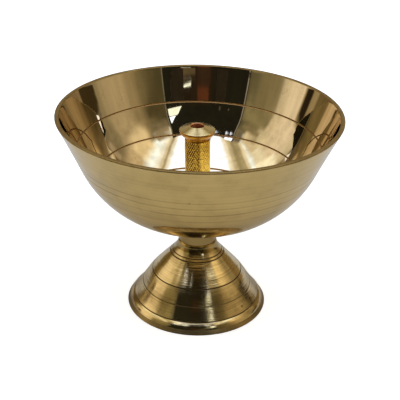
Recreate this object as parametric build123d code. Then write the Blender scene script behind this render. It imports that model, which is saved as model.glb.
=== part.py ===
from build123d import *
import os

"""Footed brass oil lamp: an open bowl on a hollow conical foot, with a wick holder standing in its middle.

Units are millimetres. +Z is up, and the origin is the middle of the ring that the foot stands on.
Every piece is turned about the Z axis. Threads are plain cylinders with a running clearance.
"""

# How near a corner must be to a stated radius or height to be picked for rounding
pick_tolerance = 0.01

# Bowl
rim_radius = 50.2
lamp_height = 75.7
bowl_wall = 1.5
lip_rounding = 0.4
dish_height = 34.5
dish_edge = (12.9, 35.5)
wall_start = (42.2, 58.2)
ring_heights = (42.0, 51.6, 63.0)
ring_groove = 0.22
exterior_line_heights = (53.2, 59.4, 67.8)
exterior_groove = 0.08

# Boss under the bowl, with the through bore that both threads use
joint_height = 25.8
boss_radius = 6.7
boss_chamfer = 0.25
boss_fillet = 1.2
thread_bore_radius = 3.0
thread_radius = 2.95
seat_height = 36.15
seat_radius = 6.2

# Foot
foot_radius = 26.1
foot_neck_radius = 6.95
foot_flank = ((7.9, 23.2), (10.6, 20.0), (14.25, 16.0), (17.6, 12.0), (20.85, 7.0), (23.2, 3.7))
bead_edge = (24.9, 1.6)
bead_bulge = 0.16
foot_edge_rounding = 0.25
foot_thickness = 2.5
foot_bottom_width = 3.0
foot_web_height = 21.8
foot_web_radius = 6.1
foot_web_clearance = 1.5
foot_hole_radius = 3.25
foot_line_heights = (8.2, 13.4, 20.8, 21.7)
foot_groove = 0.13
bead_groove = 0.22

# Screw and washer that pull the foot up against the boss
foot_washer_radius = 5.7
foot_washer_thickness = 1.0
screw_head_radius = 5.0
screw_head_height = 3.4
screw_length = 10.0
screw_chamfer = 0.5
slot_width = 1.3
slot_depth = 1.6

# Wick holder and the washer that seals it to the bowl
seal_radius = 5.6
seal_thickness = 1.0
shank_radius = 4.45
head_radius = 6.35
head_top_height = 70.4
head_edge_height = 69.1
head_land = 0.6
head_base_height = 66.4
neck_groove = 0.2
wick_radius = 2.3
wick_mouth_chamfer = 0.5
wick_floor_height = 39.4
drill_point_height = 1.4
port_radius = 1.3
port_height = 41.0
port_count = 4
tail_length = 5.6
edge_chamfer = 0.4


def turn(profile):
    """Turns a profile, drawn as (radius, height), about the Z axis."""
    return revolve(Plane.XZ * profile, Axis.Z)


def at_height(curve, height):
    """The point where a rising curve crosses a height."""
    low, high = 0.0, 1.0
    for _ in range(40):
        middle = (low + high) / 2
        if (curve @ middle).Y < height:
            low = middle
        else:
            high = middle
    return curve @ low


def cut_grooves(profile, curve, heights, radius):
    """Cuts a half-round groove into a profile wherever its curve crosses one of the heights."""
    for height in heights:
        point = at_height(curve, height)
        profile -= Pos(point.X, point.Y) * Circle(radius)
    return profile


def washer(outer_radius, inner_radius, bottom, thickness):
    """A flat ring about the Z axis."""
    return Pos(0, 0, bottom) * extrude(Circle(outer_radius) - Circle(inner_radius), thickness)


def bowl_surface(inset):
    """The bowl's profile curve, inset by a distance from its outer surface: dish, round knuckle and flared wall."""
    outer = [Vector(0, dish_height), Vector(*dish_edge), Vector(*wall_start), Vector(rim_radius, lamp_height)]
    tangent = Vector(1, 0)
    pieces = Curve()
    for start, end in zip(outer, outer[1:]):
        arc = TangentArc(start, end, tangent=tangent)
        turned = arc % 1
        start_inset = start + tangent.rotate(Axis.Z, 90) * inset
        end_inset = end + turned.rotate(Axis.Z, 90) * inset
        pieces += TangentArc(start_inset, end_inset, tangent=tangent)
        tangent = turned
    return Wire(pieces.edges())


def make_bowl():
    outside = bowl_surface(0)
    inside = bowl_surface(bowl_wall)
    wall_end = Line(outside @ 1, inside @ 1)
    axis_line = Line(outside @ 0, inside @ 0)
    profile = make_face([*outside.edges(), wall_end, *inside.edges(), axis_line])
    profile -= Pos(rim_radius, lamp_height + bowl_wall) * Rectangle(4 * bowl_wall, 2 * bowl_wall)
    lip_corners = profile.vertices().filter_by(lambda v: v.Y > lamp_height - pick_tolerance)
    profile = fillet(lip_corners, lip_rounding)
    profile = cut_grooves(profile, inside, ring_heights, ring_groove)
    profile = cut_grooves(profile, outside, exterior_line_heights, exterior_groove)
    boss_height = seat_height - joint_height
    boss = Pos(boss_radius / 2, joint_height + boss_height / 2) * Rectangle(boss_radius, boss_height)
    profile += boss
    boss_side = profile.vertices().filter_by(lambda v: abs(v.X - boss_radius) < pick_tolerance)
    foot_end, root = boss_side.sort_by(Axis.Y)[:2]
    profile = fillet(root, boss_fillet)
    profile = chamfer(profile.vertices().sort_by_distance(foot_end)[0], boss_chamfer)
    bowl = turn(profile)
    spot_face = Pos(0, 0, seat_height) * extrude(Circle(seat_radius), bowl_wall)
    bore = Pos(0, 0, joint_height) * extrude(Circle(thread_bore_radius), boss_height)
    return bowl - spot_face - bore


def make_foot():
    neck = (foot_neck_radius, joint_height - boss_chamfer)
    neck_top = (foot_neck_radius - boss_chamfer, joint_height)
    flank = Spline(foot_flank[::-1] + (neck,))
    bead = SagittaArc(bead_edge, foot_flank[-1], -bead_bulge)
    hollow_top = (foot_web_radius, foot_web_height)
    hollow_points = [
        (radius - foot_thickness, height)
        for radius, height in foot_flank[::-1]
        if height < foot_web_height - foot_web_clearance
    ]
    hollow = Spline([*hollow_points, hollow_top])
    base_inner = (foot_radius - foot_bottom_width, 0)
    edges = [
        Line(base_inner, (foot_radius, 0)),
        Line((foot_radius, 0), bead_edge),
        bead,
        flank,
        Line(neck, neck_top),
        Line(neck_top, (foot_hole_radius, joint_height)),
        Line((foot_hole_radius, joint_height), (foot_hole_radius, foot_web_height)),
        Line((foot_hole_radius, foot_web_height), hollow_top),
        hollow,
        Line(hollow_points[0], base_inner),
    ]
    profile = make_face(edges)
    base_corner = profile.vertices().filter_by(lambda v: v.X > foot_radius - pick_tolerance)
    profile = fillet(base_corner, foot_edge_rounding)
    profile = cut_grooves(profile, flank, foot_line_heights, foot_groove)
    profile -= Pos(*foot_flank[-1]) * Circle(bead_groove)
    return turn(profile)


def make_foot_screw():
    """A slotted cheese-head screw, driven up from inside the foot."""
    shoulder = foot_web_height - foot_washer_thickness
    bottom = shoulder - screw_head_height
    tip = shoulder + screw_length
    profile = make_face(
        Polyline(
            (0, bottom),
            (screw_head_radius - screw_chamfer, bottom),
            (screw_head_radius, bottom + screw_chamfer),
            (screw_head_radius, shoulder),
            (thread_radius, shoulder),
            (thread_radius, tip - screw_chamfer),
            (thread_radius - screw_chamfer, tip),
            (0, tip),
            close=True,
        )
    )
    slot = Pos(0, 0, bottom + slot_depth / 2) * Box(2 * screw_head_radius, slot_width, slot_depth)
    return turn(profile) - slot


def make_wick_holder():
    """A drilled and knurled rod with a mushroom head, side ports for the oil and a threaded tail."""
    shoulder = seat_height + seal_thickness
    tail_end = shoulder - tail_length
    neck_radius = shank_radius - neck_groove
    neck_top = (neck_radius, head_base_height)
    land_base = (head_radius, head_edge_height - head_land)
    mouth_radius = wick_radius + wick_mouth_chamfer
    profile = make_face(
        [
            *Polyline(
                (0, tail_end),
                (thread_radius - edge_chamfer, tail_end),
                (thread_radius, tail_end + edge_chamfer),
                (thread_radius, shoulder),
                (shank_radius - edge_chamfer, shoulder),
                (shank_radius, shoulder + edge_chamfer),
                (shank_radius, head_base_height - 3 * neck_groove),
                (neck_radius, head_base_height - 2 * neck_groove),
                neck_top,
            ).edges(),
            SagittaArc(neck_top, land_base, neck_groove),
            *Polyline(
                land_base,
                (head_radius, head_edge_height),
                (mouth_radius, head_top_height),
                (wick_radius, head_top_height - wick_mouth_chamfer),
                (wick_radius, wick_floor_height),
                (0, wick_floor_height - drill_point_height),
                (0, tail_end),
            ).edges(),
        ]
    )
    holder = turn(profile)
    port = Pos(0, 0, port_height) * Rot(0, 90, 0) * extrude(Circle(port_radius), 2 * shank_radius)
    for index in range(port_count):
        holder -= Rot(0, 0, 360 / port_count * index) * port
    return holder


def make_foot_washer():
    bottom = foot_web_height - foot_washer_thickness
    return washer(foot_washer_radius, foot_hole_radius, bottom, foot_washer_thickness)


def make_seal():
    return washer(seal_radius, thread_bore_radius, seat_height, seal_thickness)


os.makedirs("parts", exist_ok=True)
export_step(make_bowl(), "parts/bowl.step")
export_step(make_foot(), "parts/foot.step")
export_step(make_foot_screw(), "parts/foot_screw.step")
export_step(make_foot_washer(), "parts/foot_screw_washer.step")
export_step(make_seal(), "parts/wick_holder_washer.step")
export_step(make_wick_holder(), "parts/wick_holder.step")
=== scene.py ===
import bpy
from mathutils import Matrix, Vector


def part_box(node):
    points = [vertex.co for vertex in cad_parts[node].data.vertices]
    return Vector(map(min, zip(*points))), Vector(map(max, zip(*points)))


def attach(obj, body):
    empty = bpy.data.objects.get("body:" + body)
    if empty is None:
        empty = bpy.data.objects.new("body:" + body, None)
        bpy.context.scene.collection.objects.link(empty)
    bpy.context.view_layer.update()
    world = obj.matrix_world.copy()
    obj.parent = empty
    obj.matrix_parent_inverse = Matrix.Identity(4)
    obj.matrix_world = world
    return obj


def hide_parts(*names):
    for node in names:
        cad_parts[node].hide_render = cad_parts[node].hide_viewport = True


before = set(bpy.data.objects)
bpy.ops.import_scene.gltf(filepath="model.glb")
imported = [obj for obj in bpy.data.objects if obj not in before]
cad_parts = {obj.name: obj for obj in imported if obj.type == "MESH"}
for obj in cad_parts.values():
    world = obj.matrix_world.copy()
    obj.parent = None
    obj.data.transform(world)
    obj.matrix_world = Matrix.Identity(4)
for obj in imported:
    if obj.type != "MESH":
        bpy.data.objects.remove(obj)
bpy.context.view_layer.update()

import math

import bmesh
import bpy
import numpy as np
from mathutils import Matrix, Vector

"""A footed brass oil lamp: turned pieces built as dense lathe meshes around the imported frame.

Profiles are drawn in millimetres as (radius, height) and turned about the Z axis. Angles are in radians,
apart from those of the light, the camera and the tool marks, which are in degrees.
"""

MM = 0.001


def frame_box(node):
    """The low and the high corner of a CAD node's box, in millimetres."""
    return [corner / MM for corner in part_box(node)]


# ---------------------------------------------------------------- sizes in millimetres, from the frame
bowl_low, bowl_high = frame_box("bowl")
foot_high = frame_box("foot")[1]
holder_low, holder_high = frame_box("wick_holder")
seal_low, seal_high = frame_box("wick_holder_washer")
screw_low, screw_high = frame_box("foot_screw")
plate_low, plate_high = frame_box("foot_screw_washer")

LAMP_HEIGHT = bowl_high.z
JOINT_HEIGHT = bowl_low.z
SEAT_HEIGHT = seal_low.z
SHOULDER_HEIGHT = seal_high.z

# ---------------------------------------------------------------- sizes in millimetres that the frame lacks
# Steps round the axis of the bowl and the foot
LATHE_STEPS = 384

# Bowl. Rounding the lip takes LIP_SETBACK off the radius that its outer curve would reach
LIP_ROUNDING = 0.4
LIP_SETBACK = 0.237
RIM_RADIUS = bowl_high.x + LIP_SETBACK
BOWL_WALL = 1.5
BOWL_SPACING = 0.75
DISH_HEIGHT = 34.5
DISH_EDGE = (12.9, 35.5)
WALL_START = (42.2, 58.2)
SEAT_RADIUS = 6.2
BOSS_RADIUS = 6.7
BOSS_FILLET = 1.2
BOSS_CHAMFER = 0.25
THREAD_BORE_RADIUS = 3.0

# How far the inner wall departs from plain arcs, as (height, distance). It decides where reflections fall
WALL_SWELL = (
    (36, 0), (38, 0), (40, 0.04), (42, 0.12), (44, 0.25), (46.8, 0.38), (49, 0.42), (51.6, 0.42), (53, 0.355),
    (55, 0.185), (57, 0.0), (59, -0.19), (61, -0.34), (63, -0.41), (65, -0.43), (67, -0.41), (69, -0.355),
    (71, -0.27), (73, -0.16), (75.7, 0.035), (79, 0.32),
)
# Rings cut inside the bowl, as (height, half height of the rough band), and their half width and depth
RINGS = ((42.0, 0.22), (51.77, 0.25), (62.81, 0.28))
RING_GROOVE = (0.28, 0.2)
# Fine lines round the outside of the bowl, as (height, depth, darkness)
EXTERIOR_LINES = (
    (53.2, 0.05, 0.4), (56.5, 0.03, 0.8), (59.4, 0.07, 0.9),
    (62.1, 0.03, 0.6), (67.8, 0.05, 0.3), (71.1, 0.03, 0.25),
)
LINE_HALF_WIDTH = 0.35
LINE_BAND = 0.22
# Marks on the metal, as (place, radius)
BOWL_MARKS = (((-2.8, -44.1, 62.1), 0.6),)
FOOT_MARKS = (
    ((15.3, -10.6, 10.4), 0.5), ((16.0, -10.5, 9.5), 0.6), ((16.8, -10.4, 8.6), 0.5),
    ((16.8, -14.2, 5.4), 0.6),
)

# Foot
FOOT_EDGE_SETBACK = 0.2
FOOT_RADIUS = foot_high.x + FOOT_EDGE_SETBACK
FOOT_SPACING = 0.35
NECK_RADIUS = 6.95
NECK_START = 23.3
FLANK = ((7.9, 23.2), (10.6, 20.0), (14.25, 16.0), (17.6, 12.0), (20.85, 7.0), (23.2, 3.7))
BEAD_EDGE = (24.9, 1.6)
BEAD_BULGE = 0.16
# The groove between bead and flank, as (radius, height) steps: from the flank's end to the bead's end, and
# from the groove's floor to the flank's end
BEAD_GROOVE_WIDTH = (0.12, -0.17)
BEAD_GROOVE_DEPTH = (0.2, 0.14)
FOOT_HOLE_RADIUS = 3.25
WEB_HEIGHT = plate_high.z
WEB_RADIUS = 6.1
WEB_CLEARANCE = 1.5
FOOT_THICKNESS = 2.5
FOOT_BOTTOM_WIDTH = 3.0
HOLLOW_SPACING = 0.9
# Rings cut round the foot, as (height, half width, depth)
FOOT_GROOVES = ((8.2, 0.12, 0.05), (13.4, 0.17, 0.14), (20.8, 0.17, 0.12), (21.7, 0.14, 0.08))

# Wick holder
THREAD_RADIUS = 2.95
THREAD_DEPTH = 0.5
SHANK_RADIUS = 4.45
SHANK_CHAMFER = 0.4
SHANK_NECK = 0.25
HEAD_RADIUS = holder_high.x
HEAD_TOP = holder_high.z
HEAD_EDGE = 69.1
HEAD_LAND = 0.6
HEAD_BASE = 66.4
HEAD_ROWS = 10
WICK_RADIUS = 2.3
WICK_MOUTH = 0.22
WICK_FLOOR = 39.4
WICK_FLOOR_DROP = 1.4
PORT_RADIUS = 1.3
PORT_HEIGHT = 41.0
KNURL_TEETH = 32
KNURL_STEPS = 8
KNURL_DEPTH = 0.2
KNURL_ROWS = 150
KNURL_LOW = PORT_HEIGHT + PORT_RADIUS + 1.0
KNURL_HIGH = HEAD_BASE - 0.9
# Teeth crossed for each millimetre of height: the ridges of the knurling run at 30 degrees to the axis
KNURL_RISE = KNURL_TEETH * math.tan(math.radians(30)) / (2 * math.pi * SHANK_RADIUS)
# The middle and the half width of the stretch round the shank where the knurling is worn down
KNURL_WEAR = math.radians(278)
KNURL_WEAR_WIDTH = 0.3
TAIL_ROWS = 44
HOLDER_LEAN = math.radians(1.5)
LEAN_START = SHOULDER_HEIGHT + 0.5

# Foot screw, and the cutter for its slot as (length, width, height)
SCREW_ROWS = 80
SLOT_DEPTH = 1.6
SLOT_CUTTER = (30, 1.3, 3.6)


# ---------------------------------------------------------------- curves
def tangent_arc(start, end, tangent, inset, count=400):
    """The arc from start to end that leaves along tangent.

    Gives its points, moved inset to its left, and its last tangent.
    """
    start, end, tangent = (np.array(p, float) for p in (start, end, tangent))
    normal = np.array((-tangent[1], tangent[0]))
    chord = end - start
    radius = (chord @ chord) / (2 * (chord @ normal))
    centre = start + normal * radius
    first = math.atan2(*(start - centre)[::-1])
    turn = 2 * math.asin(max(-1, min(1, np.linalg.norm(chord) / (2 * radius))))
    angles = first + turn * np.linspace(0, 1, count)
    side = math.copysign(1, radius)
    points = centre + (abs(radius) - side * inset) * np.stack([np.cos(angles), np.sin(angles)], -1)
    heading = math.atan2(tangent[1], tangent[0]) + turn
    return points, (math.cos(heading), math.sin(heading))


def bowl_curve(inset):
    """The bowl's profile from axis to rim: dish, knuckle and flared wall, moved inset into the metal."""
    corners = [(0, DISH_HEIGHT), DISH_EDGE, WALL_START, (RIM_RADIUS, LAMP_HEIGHT)]
    tangent = (1.0, 0.0)
    parts = []
    for start, end in zip(corners, corners[1:]):
        points, tangent = tangent_arc(start, end, tangent, inset)
        parts.append(points if not parts else points[1:])
    return np.concatenate(parts)


def through(points, count=60):
    """A smooth curve through a few points (Catmull-Rom, count samples per span)."""
    p = [np.array(q, float) for q in points]
    p = [2 * p[0] - p[1], *p, 2 * p[-1] - p[-2]]
    t = np.linspace(0, 1, count, endpoint=False)[:, None]
    spans = []
    for a, b, c, d in zip(p, p[1:], p[2:], p[3:]):
        square = (2 * a - 5 * b + 4 * c - d) * t**2
        cube = (3 * b - a - 3 * c + d) * t**3
        spans.append(0.5 * (2 * b + (c - a) * t + square + cube))
    return np.concatenate([*spans, [p[-2]]])


def swollen(curve, swell):
    """A curve moved to its left by the swell at each height, given as (height, distance) points."""
    ahead = np.gradient(curve, axis=0)
    ahead /= np.hypot(*ahead.T)[:, None]
    smooth = through(swell)
    distance = np.interp(curve[:, 1], smooth[:, 0], smooth[:, 1])
    return curve + np.stack([-ahead[:, 1], ahead[:, 0]], -1) * distance[:, None]


def lengths(curve):
    """Distance along a curve to each of its points."""
    steps = np.hypot(*np.diff(curve, axis=0).T)
    return np.concatenate([[0], np.cumsum(steps)])


def place_at(curve, distances):
    """Points on a curve at distances along it."""
    s = lengths(curve)
    return np.stack([np.interp(distances, s, curve[:, 0]), np.interp(distances, s, curve[:, 1])], -1)


def where(curve, height):
    """Distance along a curve to where it crosses a height."""
    s = lengths(curve)
    order = np.argsort(curve[:, 1])
    return float(np.interp(height, curve[order, 1], s[order]))


def turned(curve, spacing, grooves=(), side=1, first=0.0, last=None):
    """Resamples a curve and cuts V grooves into it.

    A groove is (distance, half width, depth), and goes to the curve's left where side is 1.
    """
    total = lengths(curve)[-1] if last is None else last
    stations = list(np.linspace(first, total, max(2, int((total - first) / spacing) + 1)))
    for at, half, _ in grooves:
        stations = [s for s in stations if abs(s - at) > 1.6 * half]
        stations += [at + half * k / 2 for k in range(-3, 4)]
    stations = np.array(sorted(stations))
    points = place_at(curve, stations)
    ahead = place_at(curve, stations + 0.02) - place_at(curve, stations - 0.02)
    ahead /= np.hypot(*ahead.T)[:, None]
    normals = np.stack([-ahead[:, 1], ahead[:, 0]], -1) * side
    depth = np.zeros(len(stations))
    for at, half, deep in grooves:
        depth += deep * np.clip(1 - np.abs(stations - at) / half, 0, 1)
    return points + normals * depth[:, None]


def rounded(before, corner, after, radius, count=8):
    """Fillet points at a corner, from the leg towards before to the leg towards after."""
    before, corner, after = (np.array(p, float) for p in (before, corner, after))
    a = (before - corner) / np.linalg.norm(before - corner)
    b = (after - corner) / np.linalg.norm(after - corner)
    half = math.acos(max(-1, min(1, a @ b))) / 2
    leg = radius / math.tan(half)
    middle = (a + b) / np.linalg.norm(a + b)
    centre = corner + middle * radius / math.sin(half)
    p, q = corner + a * leg - centre, corner + b * leg - centre
    t = np.linspace(0, 1, count)[:, None]
    angle = math.acos(max(-1, min(1, (p @ q) / radius**2)))
    return centre + (np.sin((1 - t) * angle) * p + np.sin(t * angle) * q) / math.sin(angle)


# ---------------------------------------------------------------- lathe
def lathe(name, runs, segments, sharp=32, shift=None):
    """Turns a closed loop of profile runs into a mesh.

    A run is (points, material, relief), and starts where the last one ended. relief(angle, radius, height)
    says how far its surface is cut in. A point at radius 0 is a pole. shift moves all the points at the end.
    """
    angles = np.arange(segments) * 2 * math.pi / segments
    rows, run_of_row = [], []
    for index, (points, _, relief) in enumerate(runs):
        points = np.asarray(points, float)
        for k, (radius, height) in enumerate(points):
            if k == 0 and rows:
                continue
            if radius < 1e-6:
                rows.append(np.array([[0, 0, height]]))
            else:
                cut = relief(angles, radius, height) if relief else 0
                r = radius - cut + np.zeros(segments)
                rows.append(np.stack([r * np.cos(angles), r * np.sin(angles), np.full(segments, height)], -1))
            run_of_row.append(index)
    first, last = rows[0], rows[-1]
    closed = len(first) == len(last) and np.allclose(first, last, atol=1e-4) and len(first) > 1
    if closed:
        rows.pop()
    starts = np.concatenate([[0], np.cumsum([len(r) for r in rows])])
    faces, materials = [], []
    count = len(rows)
    for k in range(count if closed else count - 1):
        a, b = k, (k + 1) % count
        slot = runs[run_of_row[k + 1] if k + 1 < len(run_of_row) else run_of_row[-1]][1]
        na, nb = len(rows[a]), len(rows[b])
        for j in range(segments):
            i = (j + 1) % segments
            if na == 1:
                face = (starts[a], starts[b] + j, starts[b] + i)
            elif nb == 1:
                face = (starts[a] + j, starts[b], starts[a] + i)
            else:
                face = (starts[a] + j, starts[b] + j, starts[b] + i, starts[a] + i)
            faces.append(tuple(int(v) for v in face))
            materials.append(slot)
    vertices = np.concatenate(rows)
    if shift:
        vertices = shift(vertices)
    mesh = bpy.data.meshes.new(name)
    mesh.from_pydata((vertices * MM).tolist(), [], faces)
    used = list(dict.fromkeys(materials))
    for material in used:
        mesh.materials.append(material)
    lookup = {material: k for k, material in enumerate(used)}
    mesh.polygons.foreach_set("material_index", [lookup[material] for material in materials])
    bm = bmesh.new()
    bm.from_mesh(mesh)
    bmesh.ops.recalc_face_normals(bm, faces=bm.faces)
    bm.to_mesh(mesh)
    bm.free()
    finish_shading(mesh, sharp)
    piece = bpy.data.objects.new(name, mesh)
    bpy.context.scene.collection.objects.link(piece)
    return piece


def finish_shading(mesh, sharp):
    """Smooth shading, with edges left hard where the faces turn by more than sharp degrees."""
    mesh.polygons.foreach_set("use_smooth", [True] * len(mesh.polygons))
    mesh.set_sharp_from_angle(angle=math.radians(sharp))
    mesh.update()


def cut_away(piece, cutter, sharp=32):
    """Takes a closed cutter mesh out of a piece."""
    modifier = piece.modifiers.new("cut", "BOOLEAN")
    modifier.operation = "DIFFERENCE"
    modifier.solver = "EXACT"
    modifier.object = cutter
    graph = bpy.context.evaluated_depsgraph_get()
    mesh = bpy.data.meshes.new_from_object(piece.evaluated_get(graph))
    piece.modifiers.clear()
    piece.data = mesh
    bpy.data.objects.remove(cutter)
    finish_shading(mesh, sharp)


# ---------------------------------------------------------------- shader nodes
class Nodes:
    """Short names for the shader nodes that the materials and the light are made of."""

    def __init__(self, tree):
        self.tree = tree

    def new(self, kind, **settings):
        node = self.tree.nodes.new("ShaderNode" + kind)
        for name, value in settings.items():
            setattr(node, name, value)
        return node

    def put(self, socket, value):
        if hasattr(value, "is_output"):
            self.tree.links.new(value, socket)
        else:
            socket.default_value = value

    def math(self, operation, *values):
        node = self.new("Math", operation=operation)
        for socket, value in zip(node.inputs, values):
            self.put(socket, value)
        return node.outputs[0]

    def mix(self, factor, under, over):
        node = self.new("Mix", data_type="RGBA")
        for name, value in (("Factor", factor), ("A", under), ("B", over)):
            self.put(next(i for i in node.inputs if i.name == name and i.enabled), value)
        return next(o for o in node.outputs if o.enabled)

    def scale(self, value, low, high, to_low=0.0, to_high=1.0):
        """Takes low..high smoothly to to_low..to_high, held at the ends."""
        node = self.new("MapRange", interpolation_type="SMOOTHSTEP")
        sockets = ("Value", "From Min", "From Max", "To Min", "To Max")
        for name, number in zip(sockets, (value, low, high, to_low, to_high)):
            self.put(node.inputs[name], number)
        return node.outputs[0]

    def between(self, value, low, high, soft):
        """1 between low and high, with soft edges, and 0 outside."""
        away = self.math("ABSOLUTE", self.math("SUBTRACT", value, (low + high) / 2))
        return self.scale(away, (high - low) / 2 + soft, (high - low) / 2 - soft)

    def noise(self, vector, scale, detail=3.0, roughness=0.5, along=None):
        """Noise about 0.5. With along it is 4-D noise, and along is its fourth coordinate."""
        node = self.new("TexNoise", noise_dimensions="3D" if along is None else "4D")
        settings = {"Vector": vector, "Scale": scale, "Detail": detail, "Roughness": roughness}
        if along is not None:
            settings["W"] = along
        for name, value in settings.items():
            self.put(node.inputs[name], value)
        return node.outputs[0]

    def ramp(self, factor, stops):
        """A colour that eases from stop to stop, each given as (place, colour)."""
        node = self.new("ValToRGB")
        elements = node.color_ramp.elements
        node.color_ramp.interpolation = "EASE"
        elements.remove(elements[-1])
        for k, (place, colour) in enumerate(stops):
            element = elements[0] if k == 0 else elements.new(place)
            element.position = place
            element.color = (*colour, 1)
        self.put(node.inputs[0], factor)
        return node.outputs[0]


# ---------------------------------------------------------------- materials
def new_material(name):
    """A material with only a Principled shader, and the tools to add nodes to it."""
    material = bpy.data.materials.new(name)
    material.use_nodes = True
    material.node_tree.nodes.clear()
    nodes = Nodes(material.node_tree)
    shader = nodes.new("BsdfPrincipled")
    nodes.put(nodes.new("OutputMaterial").inputs[0], shader.outputs[0])
    return material, nodes, shader


def turning_frame(nodes):
    """The place in millimetres, the radius, the height, and the direction round the axis as a unit vector."""
    place = nodes.new("VectorMath", operation="SCALE")
    nodes.put(place.inputs[0], nodes.new("TexCoord").outputs["Object"])
    place.inputs["Scale"].default_value = 1 / MM
    split = nodes.new("SeparateXYZ")
    nodes.put(split.inputs[0], place.outputs[0])
    x, y, height = split.outputs
    radius = nodes.math("SQRT", nodes.math("ADD", nodes.math("MULTIPLY", x, x), nodes.math("MULTIPLY", y, y)))
    around = nodes.new("CombineXYZ")
    safe = nodes.math("MAXIMUM", radius, 0.01)
    nodes.put(around.inputs[0], nodes.math("DIVIDE", x, safe))
    nodes.put(around.inputs[1], nodes.math("DIVIDE", y, safe))
    return place.outputs[0], radius, height, around.outputs[0]


def knurl_dirt_and_shade(nodes, place, speck):
    """Dirt in the grooves of the knurling, made heavier on the left as painted shade, and painted shade over
    the left and the middle.
    """
    split = nodes.new("SeparateXYZ")
    nodes.put(split.inputs[0], place)
    x, y, height = split.outputs
    above = nodes.math("MAXIMUM", nodes.math("SUBTRACT", height, LEAN_START), 0.0)
    side = nodes.math("ADD", x, nodes.math("MULTIPLY", above, math.tan(HOLDER_LEAN)))
    turns = nodes.math("MULTIPLY", nodes.math("ARCTAN2", y, side), KNURL_TEETH / (2 * math.pi))
    rise = nodes.math("MULTIPLY", height, KNURL_RISE)
    ridges = []
    for sign in ("ADD", "SUBTRACT"):
        crossed = nodes.math(sign, turns, rise)
        ridges.append(nodes.math("ABSOLUTE", nodes.math("SUBTRACT", crossed, nodes.math("ROUND", crossed))))
    furrow_dirt_and_shade = nodes.scale(nodes.math("MINIMUM", *ridges), 0.32, 0.08)
    furrow_dirt_and_shade = nodes.math("MULTIPLY", furrow_dirt_and_shade, nodes.scale(speck, 0.4, 0.6, 0.3, 1.5))
    # Painted shade: the furrows are darkened more towards the left side of the shank
    furrow_dirt_and_shade = nodes.math("MULTIPLY", furrow_dirt_and_shade, nodes.scale(side, -1.8, -0.2, 1.2, 0.45))
    # Painted shade over the left and the middle of the shank: a dark reflection laid into its colour
    return nodes.math("ADD", furrow_dirt_and_shade, nodes.scale(side, 0.6, 1.8, 0.2, 0.0))


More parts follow.
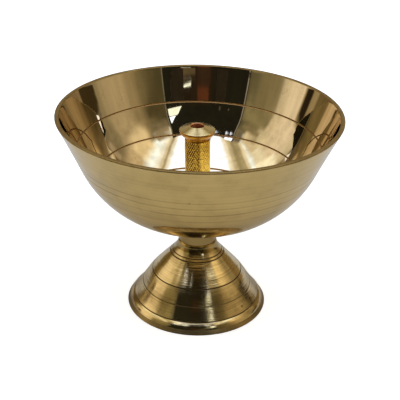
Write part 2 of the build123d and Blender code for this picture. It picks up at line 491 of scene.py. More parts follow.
def turned_metal(name, colour, shade, roughness, path=(1, 1), marks=(0.9, 1.0), waves=(3.0, 0.5), grain=0.3,
                 anisotropic=0.0, tarnish=0.3, bands=(), spots=(), mottle=0.0, grooves=(),
                 groove_colour=(0, 0, 0), knurled=False):
    """Lathe-turned metal.

    colour and shade are its clean and tarnished tones, and tarnish is how far it goes from one to the other.
    path says how the distance along the profile grows with radius and height. marks and waves are the fine
    tool marks and the slow waviness, both rings about the axis, as (spacing in mm, steepness in degrees).
    grain is the depth of the pits. bands are darker rings, as (height, half width, strength). spots are dark
    pits, as (place, radius). mottle is how far fine dull specks show. grooves are rough rings of the groove
    colour, as (height, half width). knurled adds dirt and painted shade to the knurling.
    """
    material, nodes, shader = new_material(name)
    place, radius, height, around = turning_frame(nodes)
    outward = nodes.math("MULTIPLY", radius, path[0])
    along = nodes.math("ADD", outward, nodes.math("MULTIPLY", height, path[1]))
    fine = nodes.noise(around, 0.6, 2.0, 0.6, along=nodes.math("DIVIDE", along, marks[0]))
    slow = nodes.noise(around, 0.8, 1.0, 0.5, along=nodes.math("DIVIDE", along, waves[0]))
    cloud = nodes.noise(place, 0.09, 5.0, 0.6)
    speck = nodes.noise(place, 1.3, 4.0, 0.7)

    dull = nodes.scale(cloud, 0.42, 0.68)
    streak = nodes.scale(fine, 0.35, 0.75)
    wear_and_shade = nodes.math("ADD", nodes.math("MULTIPLY", dull, 0.6), nodes.math("MULTIPLY", streak, 0.4))
    wear_and_shade = nodes.math("MULTIPLY", wear_and_shade, tarnish)
    for middle, half, strength in bands:
        ring = nodes.between(height, middle - half, middle + half, half)
        uneven = nodes.scale(slow, 0.3, 0.6, 0.4 * strength, strength)
        wear_and_shade = nodes.math("ADD", wear_and_shade, nodes.math("MULTIPLY", ring, uneven))
    for centre, size in spots:
        gap = nodes.new("VectorMath", operation="DISTANCE")
        nodes.put(gap.inputs[0], place)
        gap.inputs[1].default_value = centre
        wear_and_shade = nodes.math("ADD", wear_and_shade, nodes.scale(gap.outputs["Value"], size, 0.5 * size, 0.0, 0.9))
    if mottle:
        patches = nodes.scale(nodes.noise(place, 0.16, 3.0, 0.5), 0.5, 0.66)
        grains = nodes.math("MULTIPLY", patches, nodes.scale(speck, 0.5, 0.62))
        wear_and_shade = nodes.math("ADD", wear_and_shade, nodes.math("MULTIPLY", grains, mottle))
    # Knurled metal adds dirt in its furrows, and painted shade on its left and middle
    if knurled:
        wear_and_shade = nodes.math("ADD", wear_and_shade, knurl_dirt_and_shade(nodes, place, speck))
    tone = nodes.mix(nodes.math("MINIMUM", wear_and_shade, 1.0), (*colour, 1), (*shade, 1))
    fresh = nodes.scale(speck, 0.3, 0.8, 0.8 * roughness, 1.3 * roughness)
    rough = nodes.math("ADD", nodes.math("MULTIPLY", wear_and_shade, 0.12), fresh)
    for middle, half in grooves:
        ring = nodes.between(height, middle - half, middle + half, 0.04)
        tone = nodes.mix(ring, tone, (*groove_colour, 1))
        rough = nodes.math("ADD", rough, nodes.math("MULTIPLY", ring, 0.36))
    nodes.put(shader.inputs["Base Color"], tone)
    nodes.put(shader.inputs["Roughness"], rough)
    shader.inputs["Metallic"].default_value = 1

    relief = nodes.math("MULTIPLY", fine, marks[0] * math.tan(math.radians(marks[1])))
    swell = nodes.math("MULTIPLY", slow, waves[0] * math.tan(math.radians(waves[1])))
    pits = nodes.math("MULTIPLY", speck, 0.012 * grain)
    bump = nodes.new("Bump")
    bump.inputs["Distance"].default_value = MM
    nodes.put(bump.inputs["Height"], nodes.math("ADD", nodes.math("ADD", relief, swell), pits))
    nodes.put(shader.inputs["Normal"], bump.outputs[0])
    if anisotropic:
        # A quarter turn sets the highlights across the tool marks
        shader.inputs["Anisotropic"].default_value = anisotropic
        shader.inputs["Anisotropic Rotation"].default_value = 0.25
        tangent = nodes.new("Tangent", direction_type="RADIAL", axis="Z")
        nodes.put(shader.inputs["Tangent"], tangent.outputs[0])
    return material


def rough_metal(name, colour, shade, roughness, metallic, grain):
    """A cast, plated, drilled, fibrous or painted material with an even grain in every direction."""
    material, nodes, shader = new_material(name)
    place = turning_frame(nodes)[0]
    cloud = nodes.noise(place, 0.3, 5.0, 0.6)
    speck = nodes.noise(place, 2.2, 5.0, 0.65)
    stain = nodes.scale(cloud, 0.35, 0.7, 0.0, 0.6)
    blend = nodes.math("ADD", stain, nodes.scale(speck, 0.45, 0.75, 0.0, 0.4))
    nodes.put(shader.inputs["Base Color"], nodes.mix(blend, (*colour, 1), (*shade, 1)))
    shader.inputs["Metallic"].default_value = metallic
    nodes.put(shader.inputs["Roughness"], nodes.scale(speck, 0.3, 0.7, 0.8 * roughness, 1.2 * roughness))
    bump = nodes.new("Bump")
    bump.inputs["Distance"].default_value = MM
    nodes.put(bump.inputs["Height"], nodes.math("MULTIPLY", nodes.math("ADD", speck, cloud), grain))
    nodes.put(shader.inputs["Normal"], bump.outputs[0])
    return material


inside_brass = turned_metal(
    "inside_mirror", (0.68, 0.565, 0.40), (0.46, 0.37, 0.23), 0.02, marks=(0.7, 0.05), waves=(4.0, 0.12),
    grain=0.02, tarnish=0.16, mottle=0.4, grooves=RINGS, groove_colour=(0.36, 0.20, 0.065))
outside_brass = turned_metal(
    "outside_satin", (0.80, 0.56, 0.205), (0.46, 0.31, 0.11), 0.07, marks=(0.45, 0.9), waves=(2.6, 0.9),
    grain=0.3, anisotropic=0.4, tarnish=0.5, bands=[(z, LINE_BAND, dark) for z, _, dark in EXTERIOR_LINES],
    spots=BOWL_MARKS)
lip_brass = turned_metal(
    "lip", (0.35, 0.225, 0.075), (0.22, 0.14, 0.045), 0.5, marks=(0.5, 3.0), waves=(3.0, 1.0), grain=1.5,
    tarnish=0.8)
foot_brass = turned_metal(
    "foot_turned", (0.79, 0.61, 0.32), (0.31, 0.21, 0.085), 0.1, path=(1, -1), marks=(0.36, 6.0),
    waves=(3.0, 1.6), grain=0.6, anisotropic=0.6, tarnish=1.0, spots=FOOT_MARKS,
    grooves=[(z, half) for z, half, _ in FOOT_GROOVES], groove_colour=(0.12, 0.07, 0.025))
# Painted shade: the neck where the bowl meets the foot gets a dark brown tone that stands in for the shade
# and dark reflections under the bowl
neck_painted_shade_brass = turned_metal(
    "neck", (0.46, 0.31, 0.11), (0.24, 0.15, 0.05), 0.12, path=(0, 1), marks=(0.42, 4.0), waves=(3.0, 1.5),
    grain=0.6, anisotropic=0.5, tarnish=0.6)
edge_brass = turned_metal(
    "foot_edge", (0.34, 0.24, 0.10), (0.13, 0.09, 0.04), 0.34, path=(0, 1), marks=(0.5, 5.0),
    waves=(1.5, 2.0), grain=3.0, tarnish=0.9)
cast_brass = rough_metal("cast_hollow", (0.42, 0.31, 0.14), (0.16, 0.12, 0.07), 0.5, 1.0, 0.12)
head_brass = turned_metal(
    "head_turned", (0.72, 0.55, 0.25), (0.40, 0.29, 0.12), 0.22, path=(1, 0), marks=(0.35, 3.5),
    waves=(1.2, 2.0), grain=0.2, anisotropic=0.75, tarnish=0.6)
# Painted shade: the head's underside, its neck and the land of its edge get a dark orange tone that stands in
# for the shadow under the head
throat_painted_shade_brass = turned_metal(
    "head_underside_painted_shade", (0.48, 0.22, 0.02), (0.24, 0.11, 0.01), 0.25, path=(1, 1), marks=(0.4, 3.0),
    waves=(2.0, 1.0), grain=0.8, tarnish=0.6)
shank_brass = turned_metal(
    "knurl", (1.0, 0.64, 0.10), (0.12, 0.055, 0.012), 0.16, path=(0, 1), marks=(0.4, 1.5), waves=(2.0, 0.5),
    grain=1.0, tarnish=0.3, knurled=True)
bore_brass = rough_metal("drilled_bore", (0.80, 0.36, 0.15), (0.30, 0.09, 0.03), 0.45, 0.8, 0.04)
steel = rough_metal("zinc_plate", (0.62, 0.62, 0.60), (0.40, 0.40, 0.38), 0.3, 1.0, 0.02)
fibre = rough_metal("fibre", (0.34, 0.10, 0.05), (0.18, 0.05, 0.03), 0.65, 0.0, 0.05)


# ---------------------------------------------------------------- pieces
def make_bowl():
    outer = bowl_curve(0)
    inner = swollen(bowl_curve(BOWL_WALL), WALL_SWELL)
    outer_end = lengths(outer)[-1]
    inner_end = where(inner, LAMP_HEIGHT)
    rim_out = place_at(outer, outer_end)
    rim_in = place_at(inner, inner_end)
    lip_out = rounded(place_at(outer, outer_end - 2), rim_out, rim_in, LIP_ROUNDING)
    lip_in = rounded(rim_out, rim_in, place_at(inner, inner_end - 2), LIP_ROUNDING)
    outer_stop = outer_end - np.linalg.norm(lip_out[0] - rim_out)
    inner_stop = inner_end - np.linalg.norm(lip_in[-1] - rim_in)
    rings = [(where(inner, h), *RING_GROOVE) for h, _ in RINGS]
    lines = [(where(outer, h), LINE_HALF_WIDTH, deep) for h, deep, _ in EXTERIOR_LINES]
    seat_start = float(np.interp(SEAT_RADIUS, inner[:, 0], lengths(inner)))
    boss_start = float(np.interp(BOSS_RADIUS + BOSS_FILLET, outer[:, 0], lengths(outer)))
    root = place_at(outer, boss_start)
    inside = turned(inner, BOWL_SPACING, rings, side=-1, first=seat_start, last=inner_stop)[::-1]
    outside = turned(outer, BOWL_SPACING, lines, side=1, first=boss_start, last=outer_stop)
    corner = (BOSS_RADIUS, root[1])
    fillet = rounded((BOSS_RADIUS, root[1] - 3), corner, root, BOSS_FILLET)
    boss = [
        (THREAD_BORE_RADIUS, SEAT_HEIGHT),
        (THREAD_BORE_RADIUS, JOINT_HEIGHT),
        (BOSS_RADIUS - BOSS_CHAMFER, JOINT_HEIGHT),
        (BOSS_RADIUS, JOINT_HEIGHT + BOSS_CHAMFER),
        *fillet,
        tuple(outside[0]),
    ]
    lip = [tuple(outside[-1]), *lip_out[1:], *lip_in]
    seat = [tuple(inside[-1]), (SEAT_RADIUS, SEAT_HEIGHT), (THREAD_BORE_RADIUS, SEAT_HEIGHT)]
    runs = [
        (boss, neck_painted_shade_brass, None),
        (outside, outside_brass, None),
        (lip, lip_brass, None),
        (np.concatenate([[lip_in[-1]], inside[1:]]), inside_brass, None),
        (seat, inside_brass, None),
    ]
    return lathe("bowl_turned", runs, LATHE_STEPS)


def make_foot():
    neck = (NECK_RADIUS, JOINT_HEIGHT - BOSS_CHAMFER)
    flank = through([*FLANK[::-1], neck])
    grooves = [(where(flank, h), half, deep) for h, half, deep in FOOT_GROOVES]
    flank_line = turned(flank, FOOT_SPACING, grooves, side=1, first=0.25)
    neck_row = int(np.argmin(np.abs(flank_line[:, 1] - NECK_START)))
    t = np.linspace(0, 1, 12)[:, None]
    bead_from = np.array(BEAD_EDGE)
    bead_to = np.array(FLANK[-1]) + np.array(BEAD_GROOVE_WIDTH)
    along = bead_to - bead_from
    normal = np.array((along[1], -along[0])) / np.linalg.norm(along)
    bead = bead_from + along * t + normal * 4 * BEAD_BULGE * t * (1 - t)
    groove_floor = np.array(FLANK[-1]) - np.array(BEAD_GROOVE_DEPTH)
    band = [
        (FOOT_RADIUS - 0.35, 0.0),
        (FOOT_RADIUS - 0.22, 0.06),
        (FOOT_RADIUS - 0.19, 0.2),
        (BEAD_EDGE[0] - 0.02, BEAD_EDGE[1] - 0.05),
        BEAD_EDGE,
    ]
    hollow = [(r - FOOT_THICKNESS, z) for r, z in FLANK[::-1] if z < WEB_HEIGHT - WEB_CLEARANCE]
    hollow_line = turned(through([*hollow, (WEB_RADIUS, WEB_HEIGHT)]), HOLLOW_SPACING)[::-1]
    base_inner = (FOOT_RADIUS - FOOT_BOTTOM_WIDTH, 0.0)
    joint_inner = (FOOT_HOLE_RADIUS, JOINT_HEIGHT)
    joint_outer = (NECK_RADIUS - BOSS_CHAMFER, JOINT_HEIGHT)
    runs = [
        ([base_inner, band[0]], edge_brass, None),
        (band, edge_brass, None),
        (bead, foot_brass, None),
        ([bead[-1], groove_floor, flank_line[0]], edge_brass, None),
        (flank_line[:neck_row + 1], foot_brass, None),
        (flank_line[neck_row:], neck_painted_shade_brass, None),
        ([flank_line[-1], joint_outer, joint_inner], neck_painted_shade_brass, None),
        ([joint_inner, (FOOT_HOLE_RADIUS, WEB_HEIGHT), hollow_line[0]], cast_brass, None),
        (hollow_line, cast_brass, None),
        ([hollow_line[-1], base_inner], cast_brass, None),
    ]
    return lathe("foot_turned", runs, LATHE_STEPS)


def saw(x):
    """Twice the distance of x from the nearest whole number, from 0 to 1."""
    return 2 * np.abs(x - np.round(x))


def fading(height, low, high, run):
    """1 between two heights, falling to 0 at either over a run."""
    return max(0, min(1, (height - low) / run, (high - height) / run))


def knurl(angle, radius, height):
    """Relief of the crossed knurling, shallower where it is worn."""
    turns = KNURL_TEETH * angle / (2 * math.pi)
    rise = height * KNURL_RISE
    peak = np.minimum(saw(turns + rise), saw(turns - rise))
    wear = 1 - 0.75 * np.exp(-((angle - KNURL_WEAR) / KNURL_WEAR_WIDTH)**2)
    fade = fading(height, KNURL_LOW, KNURL_HIGH, 0.6)
    return KNURL_DEPTH * wear * fade * (1 - np.minimum(peak, 0.7) / 0.7)


def thread(low, high, run):
    """Relief of a thread of 1 mm pitch between two heights, running out at either end."""
    def relief(angle, radius, height):
        return THREAD_DEPTH * fading(height, low, high, run) * (1 - saw(height - angle / (2 * math.pi)))

    return relief


def between_points(start, end, count):
    """Points on a straight line, both ends included."""
    start, end = np.array(start), np.array(end)
    return [tuple(start + (end - start) * k / count) for k in range(count + 1)]


def make_wick_holder():
    tail_low, tail_top = holder_low.z + SHANK_CHAMFER, SHOULDER_HEIGHT - 0.5
    tail_thread = thread(tail_low, SHOULDER_HEIGHT - 0.7, 0.8)
    tail = between_points((THREAD_RADIUS, tail_low), (THREAD_RADIUS, tail_top), TAIL_ROWS)
    shank = between_points((SHANK_RADIUS, KNURL_LOW), (SHANK_RADIUS, KNURL_HIGH), KNURL_ROWS)
    shoulder = [
        tail[-1],
        (THREAD_RADIUS, SHOULDER_HEIGHT),
        (SHANK_RADIUS - SHANK_CHAMFER, SHOULDER_HEIGHT),
        (SHANK_RADIUS, SHOULDER_HEIGHT + SHANK_CHAMFER),
        shank[0],
    ]
    t = np.linspace(0, 1, HEAD_ROWS)[:, None]
    under_from = np.array((SHANK_RADIUS - 0.2, HEAD_BASE))
    span = np.array((HEAD_RADIUS, HEAD_EDGE - HEAD_LAND)) - under_from
    under = under_from + span * t + np.array((span[1], -span[0])) * 0.5 * t * (1 - t)
    neck_radius = SHANK_RADIUS - SHANK_NECK
    neck = [shank[-1], (neck_radius, HEAD_BASE - 0.6), (neck_radius, HEAD_BASE - 0.25), tuple(under[0])]
    land_top = (HEAD_RADIUS, HEAD_EDGE - 0.16)
    edge_in = (HEAD_RADIUS - 0.14, HEAD_EDGE + 0.01)
    top_in = (WICK_RADIUS + WICK_MOUTH + 0.05, HEAD_TOP - 0.01)
    mouth_low = (WICK_RADIUS, HEAD_TOP - WICK_MOUTH - 0.1)
    bore_wall = [(WICK_RADIUS, z) for z in (60, 52, 44, WICK_FLOOR)]
    bore = [mouth_low, *bore_wall, (0, WICK_FLOOR - WICK_FLOOR_DROP)]
    runs = [
        ([(0, holder_low.z), (THREAD_RADIUS - SHANK_CHAMFER, holder_low.z), tail[0]], shank_brass, None),
        (tail, shank_brass, tail_thread),
        (shoulder, shank_brass, None),
        (shank, shank_brass, knurl),
        (neck, throat_painted_shade_brass, None),
        (under, throat_painted_shade_brass, None),
        ([tuple(under[-1]), land_top], throat_painted_shade_brass, None),
        ([land_top, (HEAD_RADIUS - 0.04, HEAD_EDGE - 0.05), edge_in], head_brass, None),
        (between_points(edge_in, top_in, HEAD_ROWS), head_brass, None),
        ([top_in, (WICK_RADIUS + WICK_MOUTH - 0.04, HEAD_TOP - 0.05), mouth_low], bore_brass, None),
        (bore, bore_brass, None),
    ]
    return lathe("wick_holder_turned", runs, KNURL_TEETH * KNURL_STEPS, shift=lean)


def lean(vertices):
    """The shank is a little bent, so its head stands to one side of the bowl's axis."""
    rise = np.clip(vertices[:, 2] - LEAN_START, 0, None)
    vertices[:, 0] -= rise * math.tan(HOLDER_LEAN)
    return vertices


def cut_port(holder, axis):
    """Drills an oil port through the shank along the X or the Y axis."""
    reach = 1.5 * SHANK_RADIUS
    outline = [(0, -reach), (PORT_RADIUS, -reach), (PORT_RADIUS, reach), (0, reach)]
    port = lathe("port", [(outline, shank_brass, None)], 32)
    across = Matrix.Rotation(math.pi / 2, 4, "Y" if axis == "X" else "X")
    port.matrix_world = Matrix.Translation((0, 0, PORT_HEIGHT * MM)) @ across
    bpy.context.view_layer.update()
    cut_away(holder, port)


def make_ring(name, outer, inner, low, high, material, rounding=0.12):
    """A washer about the Z axis with its outer edges broken."""
    loop = [
        (inner, high),
        (inner, low),
        (outer - rounding, low),
        (outer, low + rounding),
        (outer, high - rounding),
        (outer - rounding, high),
        (inner, high),
    ]
    return lathe(name, [(loop, material, None)], 128)


def make_screw():
    """A slotted cheese-head screw with its head down."""
    head, shoulder = screw_high.x, plate_low.z
    bottom, tip = screw_low.z, screw_high.z
    rows = np.linspace(shoulder + 0.1, tip - 0.5, SCREW_ROWS)
    head_line = [
        (0, bottom),
        (head - 0.5, bottom),
        (head - 0.15, bottom + 0.15),
        (head, bottom + 0.5),
        (head, shoulder - 0.08),
        (head - 0.08, shoulder),
        (THREAD_RADIUS, shoulder),
        (THREAD_RADIUS, rows[0]),
    ]
    runs = [
        (head_line, steel, None),
        ([(THREAD_RADIUS, z) for z in rows], steel, thread(shoulder + 4.5, tip - 0.3, 0.5)),
        ([(THREAD_RADIUS, rows[-1]), (THREAD_RADIUS - 0.5, tip), (0, tip)], steel, None),
    ]
    screw = lathe("foot_screw_slotted", runs, 96)
    cutter_middle = bottom + SLOT_DEPTH - SLOT_CUTTER[2] / 2
    bpy.ops.mesh.primitive_cube_add(size=1, location=(0, 0, cutter_middle * MM))
    cutter = bpy.context.object
    cutter.scale = [size * MM for size in SLOT_CUTTER]
    bpy.context.view_layer.update()
    cut_away(screw, cutter)
    return screw


bowl = make_bowl()
foot = make_foot()
holder = make_wick_holder()
for axis in "YX":
    cut_port(holder, axis)
seal = make_ring("seal_ring", seal_high.x, THREAD_RADIUS + 0.05, seal_low.z, seal_high.z, fibre)
plate = make_ring("foot_screw_ring", plate_high.x, FOOT_HOLE_RADIUS, plate_low.z, plate_high.z, steel)
screw = make_screw()

for piece, node, body, slot_name in (
    (bowl, "bowl", "lamp", "bowl_brass"),
    (foot, "foot", "lamp", "foot_brass"),
    (screw, "foot_screw", "lamp", "plated_steel"),
    (plate, "foot_screw_washer", "lamp", "plated_steel"),
    (seal, "wick_holder_washer", "seal", "vulcanised_fibre"),
    (holder, "wick_holder", "wick_holder", "wick_holder_brass"),
):
    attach(piece, body)
    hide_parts(node)


# ---------------------------------------------------------------- light: a tent with a dark opening in front
# A direction is an azimuth (0 towards the opening, 90 to the right, both ways to 180 behind) and an
# elevation, in degrees. Colours are (red, green, blue) and may be over 1.
# Walls, as (azimuth, colour)
WALLS = (
    (-180, (0.28, 0.25, 0.19)),
    (-155, (0.21, 0.17, 0.10)),
    (-140, (0.23, 0.16, 0.07)),
    (-126, (0.19, 0.14, 0.05)),
    (-120, (0.30, 0.22, 0.11)),
    (-116, (0.85, 0.77, 0.54)),
    (-104, (1.07, 0.94, 0.71)),
    (-92, (0.99, 0.87, 0.64)),
    (-79, (0.85, 0.75, 0.52)),
    (-75, (0.34, 0.29, 0.16)),
    (-62, (0.28, 0.235, 0.12)),
    (-50, (0.17, 0.155, 0.08)),
    (-45, (0.12, 0.10, 0.056)),
    (36, (0.10, 0.086, 0.038)),
    (46, (0.13, 0.11, 0.051)),
    (56, (0.22, 0.18, 0.09)),
    (66, (0.38, 0.30, 0.16)),
    (78, (0.56, 0.46, 0.27)),
    (92, (0.54, 0.44, 0.26)),
    (104, (0.32, 0.27, 0.15)),
    (112, (0.28, 0.23, 0.13)),
    (118, (0.24, 0.17, 0.08)),
    (130, (0.23, 0.17, 0.07)),
    (150, (0.24, 0.19, 0.11)),
    (180, (0.28, 0.25, 0.19)),
)
# Strips of the ceiling, which run from the opening to the back, as (tangent of the angle off the zenith to
# the right, colour)
CEILING = (
    (-1.30, (1.15, 1.00, 0.72)),
    (-1.05, (1.41, 1.53, 1.44)),
    (-0.85, (1.47, 1.74, 1.98)),
    (-0.76, (1.11, 1.03, 0.78)),
    (-0.70, (0.58, 0.52, 0.32)),
    (-0.60, (0.46, 0.41, 0.23)),
    (-0.53, (0.80, 0.72, 0.49)),
    (-0.46, (1.30, 1.30, 1.15)),
    (-0.38, (1.70, 2.00, 2.70)),
    (0.38, (1.70, 2.00, 2.70)),
    (0.45, (1.28, 1.30, 1.20)),
    (0.50, (0.60, 0.53, 0.33)),
    (0.54, (1.07, 0.99, 0.75)),
    (0.60, (1.34, 1.41, 1.36)),
    (0.72, (1.47, 1.74, 1.98)),
    (0.95, (1.47, 1.71, 1.79)),
    (1.10, (1.19, 1.05, 0.78)),
    (1.30, (0.70, 0.58, 0.36)),
)
BACK_CEILING = (0.62, 0.60, 0.52)
CARD = (1.7, 1.9, 1.85)
WHITE_CARD = (2.3, 2.7, 3.8)
# Panels, as (azimuth from, to, elevation from, to, softness, lean of the left side, of the right side,
# colour). A lean is in degrees of azimuth for each degree of elevation
PANELS = (
    (68, 98, 34, 50, 5, 0, 0, (1.15, 0.97, 0.60)),
    (98, 126, 33, 50, 5, 0, 0, (0.78, 0.63, 0.38)),
    (-72, -46, 24, 33, 4, 0, 0, (0.33, 0.29, 0.15)),
    (-88, -72, 33, 49, 4, 0, 0, (0.95, 0.86, 0.6)),
    (-58, -45, 43, 49, 2, 0, 0, (0.24, 0.21, 0.13)),
    (40, 60, 43, 48.5, 2, 0, 0, (0.50, 0.42, 0.27)),
    (-77, -60, 40, 47, 2.5, 0, 0, (0.95, 0.84, 0.58)),
    (-76, -52, 36, 41, 2.5, 0, 0, (0.34, 0.29, 0.16)),
    (-106, -84, 38, 47, 3, 0, 0, (1.25, 1.2, 0.95)),
    (-118, -104, 30, 46, 3, 0, 0, (1.5, 1.5, 1.25)),
    (38, 60, 37, 45, 3, 0, 0, (0.26, 0.22, 0.13)),
    (40, 56, 24, 31, 3, 0, 0, (0.10, 0.08, 0.035)),
    (112, 118, 21, 29, 2, 0, 0, (0.5, 0.41, 0.26)),
    (-17, 21, 46, 62, 1.5, 0, 0, (0.03, 0.024, 0.014)),
    (-45, 35.8, -10, 50.5, 0.35, -0.14, 0.1, (0.02, 0.019, 0.012)),
    (-12, 20, 22, 29.5, 3, 0, 0, (0.03, 0.02, 0.011)),
    (-8, 3, 26, 29.2, 1.0, 0, 0, (0.13, 0.045, 0.02)),
    (-9, 3, 22, 25.6, 0.8, 0, 0, (0.05, 0.03, 0.017)),
    (5, 19, 20, 24.9, 0.7, 0, 0, (0.15, 0.115, 0.06)),
    (9.2, 17.8, 25.42, 25.82, 0.12, 2, 2, CARD),
    (22.4, 34.2, 30.5, 35.4, 0.25, 1.3, 0, CARD),
    (31, 34.4, 36.1, 43.3, 0.3, 1.1, 0, WHITE_CARD),
    (-47, -42, 47.9, 50.4, 0.5, 0, 0, WHITE_CARD),
    (-42, -36, 48.8, 50.9, 0.5, 0, 0, WHITE_CARD),
    (-21.3, -19.8, 30, 32.4, 0.4, 0, 0, (0.10, 0.09, 0.07)),
    (-30.6, -29.4, 30, 31.3, 0.3, 0, 0, (0.15, 0.13, 0.10)),
    (36.0, 37.2, 22, 49, 0.3, 0.1, 0.1, (0.24, 0.22, 0.16)),
    (-46.4, -45.3, 22, 48, 0.3, -0.14, -0.14, (0.36, 0.35, 0.29)),
    (-122, -101, -10, 13, 1.5, 0, 0, (0.42, 0.33, 0.17)),
    (-180, -117, -10, 9, 1.5, 0, 0, (0.19, 0.14, 0.055)),
    (-110, -102.5, 6.0, 11.6, 1.2, 0, 0, (0.03, 0.02, 0.01)),
    (103, 121, -10, 10.4, 0.8, 0, 0, (0.055, 0.038, 0.014)),
    (121, 135, -10, 9, 1.5, 0, 0, (0.30, 0.22, 0.11)),
    (106, 113, 9.7, 11.2, 0.4, -3, -3, (0.20, 0.17, 0.12)),
    (169, 190, 55, 78, 4, 0, 0, (0.45, 0.42, 0.34)),
    (-190, -169, 55, 78, 4, 0, 0, (0.45, 0.42, 0.34)),
    (150, 174, 12, 40, 3, 0, 0, (0.46, 0.41, 0.31)),
    (-174, -150, 12, 40, 3, 0, 0, (0.46, 0.41, 0.31)),
)


def make_world():
    """A surrounding that lights the lamp by direction, and that the camera sees as plain white."""
    world = bpy.data.worlds.new("studio")
    world.use_nodes = True
    bpy.context.scene.world = world
    nodes = Nodes(world.node_tree)
    direction = nodes.new("TexCoord").outputs["Generated"]
    split = nodes.new("SeparateXYZ")
    nodes.put(split.inputs[0], direction)
    right, back, rise = split.outputs
    wander = nodes.math("MULTIPLY", nodes.math("SUBTRACT", nodes.noise(direction, 3.0, 4.0), 0.5), 4.0)
    azimuth = nodes.math("DEGREES", nodes.math("ARCTAN2", right, nodes.math("MULTIPLY", back, -1)))
    elevation = nodes.math("DEGREES", nodes.math("ARCSINE", rise))

    turn = nodes.math("ADD", nodes.math("DIVIDE", nodes.math("ADD", azimuth, wander), 360), 0.5)
    walls = nodes.ramp(turn, [((angle + 180) / 360, colour) for angle, colour in WALLS])

    overhead = nodes.math("MAXIMUM", rise, 0.1)
    across = nodes.math("ADD", nodes.math("DIVIDE", right, overhead), nodes.math("MULTIPLY", wander, 0.01))
    strip = nodes.math("ADD", nodes.math("DIVIDE", across, 3), 0.5)
    ceiling = nodes.ramp(strip, [(x / 3 + 0.5, colour) for x, colour in CEILING])
    behind = nodes.scale(nodes.math("DIVIDE", back, overhead), 0.35, 0.8)
    ceiling = nodes.mix(behind, ceiling, (*BACK_CEILING, 1))

    light = nodes.mix(nodes.scale(nodes.math("ADD", elevation, wander), 43, 48), walls, ceiling)
    for az_low, az_high, el_low, el_high, soft, low_lean, high_lean, colour in PANELS:
        above = nodes.math("SUBTRACT", elevation, (el_low + el_high) / 2)
        mask = nodes.between(elevation, el_low, el_high, soft)
        for sign, edge, lean_rate in ((1, az_low, low_lean), (-1, az_high, high_lean)):
            across = azimuth
            if lean_rate:
                across = nodes.math("SUBTRACT", azimuth, nodes.math("MULTIPLY", above, lean_rate))
            side = nodes.scale(across, edge - sign * soft, edge + sign * soft)
            mask = nodes.math("MULTIPLY", mask, side)
        light = nodes.mix(mask, light, (*colour, 1))

    mottled = nodes.new("VectorMath", operation="SCALE")
    nodes.put(mottled.inputs[0], light)
    nodes.put(mottled.inputs["Scale"], nodes.scale(nodes.noise(direction, 9.0, 3.0), 0.25, 0.75, 0.86, 1.12))
    seen = nodes.new("LightPath").outputs["Is Camera Ray"]
    background = world.node_tree.nodes["Background"]
    nodes.put(background.inputs[0], nodes.mix(seen, mottled.outputs[0], (1, 1, 1, 1)))


# ---------------------------------------------------------------- stage and camera
CAMERA_PLACE = (0, -0.3076, 0.1976)
CAMERA_LENS = 85.75
CAMERA_SENSOR = 36
# How far the camera looks down, looks to the right and is turned about its own axis, in degrees
CAMERA_PITCH, CAMERA_YAW, CAMERA_ROLL = 26.93, 0.12, 1.24

FLOOR_REACH = 3
FLOOR_GLOW = 0.72

# Two dark sheets that lay painted shade into the lamp's reflections, hung in front of the lamp and out of
# the camera's sight, as (left, right), and their shared place
SHADES = ((-51, -30), (32, 62))
SHADE_Y = -90
SHADE_LOW, SHADE_HIGH = 108, 140


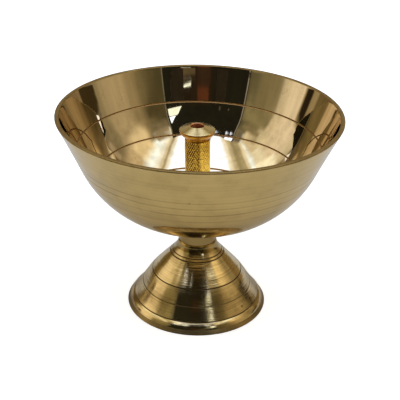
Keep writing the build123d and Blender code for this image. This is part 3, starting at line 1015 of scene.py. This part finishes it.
def make_camera():
    camera = bpy.data.objects.new("camera", bpy.data.cameras.new("camera"))
    bpy.context.scene.collection.objects.link(camera)
    camera.data.sensor_width = CAMERA_SENSOR
    camera.data.lens = CAMERA_LENS
    pitch, yaw, roll = [math.radians(angle) for angle in (CAMERA_PITCH, CAMERA_YAW, CAMERA_ROLL)]
    forward = Vector((math.sin(yaw) * math.cos(pitch), math.cos(yaw) * math.cos(pitch), -math.sin(pitch)))
    right = forward.cross(Vector((0, 0, 1))).normalized()
    up = right.cross(forward)
    tilted_right = right * math.cos(roll) + up * math.sin(roll)
    tilted_up = up * math.cos(roll) - right * math.sin(roll)
    turn = Matrix((tilted_right, tilted_up, -forward)).transposed()
    camera.matrix_world = Matrix.Translation(CAMERA_PLACE) @ turn.to_4x4()
    bpy.context.scene.camera = camera


def make_sheet(name, corners, material):
    """A flat four-cornered sheet that belongs to the stage."""
    mesh = bpy.data.meshes.new(name)
    mesh.from_pydata(corners, [], [(0, 1, 2, 3)])
    mesh.materials.append(material)
    sheet = bpy.data.objects.new(name, mesh)
    bpy.context.scene.collection.objects.link(sheet)
    return sheet


def floor_paint():
    """Pale paint that glows a little for the camera only, so that the floor looks lit like the backdrop."""
    material, nodes, paint = new_material("floor")
    tint = nodes.noise(nodes.new("TexCoord").outputs["Object"], 6.0, 3.0)
    nodes.put(paint.inputs["Base Color"], nodes.mix(tint, (0.70, 0.70, 0.70, 1), (0.74, 0.74, 0.74, 1)))
    paint.inputs["Roughness"].default_value = 0.9
    glow = nodes.new("Emission")
    glow.inputs["Strength"].default_value = FLOOR_GLOW
    both = nodes.new("AddShader")
    nodes.put(both.inputs[0], paint.outputs[0])
    nodes.put(both.inputs[1], glow.outputs[0])
    choice = nodes.new("MixShader")
    nodes.put(choice.inputs[0], nodes.new("LightPath").outputs["Is Camera Ray"])
    nodes.put(choice.inputs[1], paint.outputs[0])
    nodes.put(choice.inputs[2], both.outputs[0])
    nodes.put(material.node_tree.nodes["Material Output"].inputs[0], choice.outputs[0])
    return material


make_camera()

reach = FLOOR_REACH
floor_corners = [(-reach, -reach, 0), (reach, -reach, 0), (reach, reach, 0), (-reach, reach, 0)]
floor = make_sheet("floor", floor_corners, floor_paint())

for index, (left, right) in enumerate(SHADES):
    outline = ((left, SHADE_LOW), (right, SHADE_LOW), (right, SHADE_HIGH), (left, SHADE_HIGH))
    shade_paint = rough_metal(f"shade_{index}", (0.04, 0.028, 0.013), (0.06, 0.04, 0.02), 0.9, 0.0, 0.01)
    shade = make_sheet(f"shade_{index}", [(x * MM, SHADE_Y * MM, z * MM) for x, z in outline], shade_paint)
    shade.visible_camera = False

make_world()
bpy.context.scene.view_settings.view_transform = "Standard"
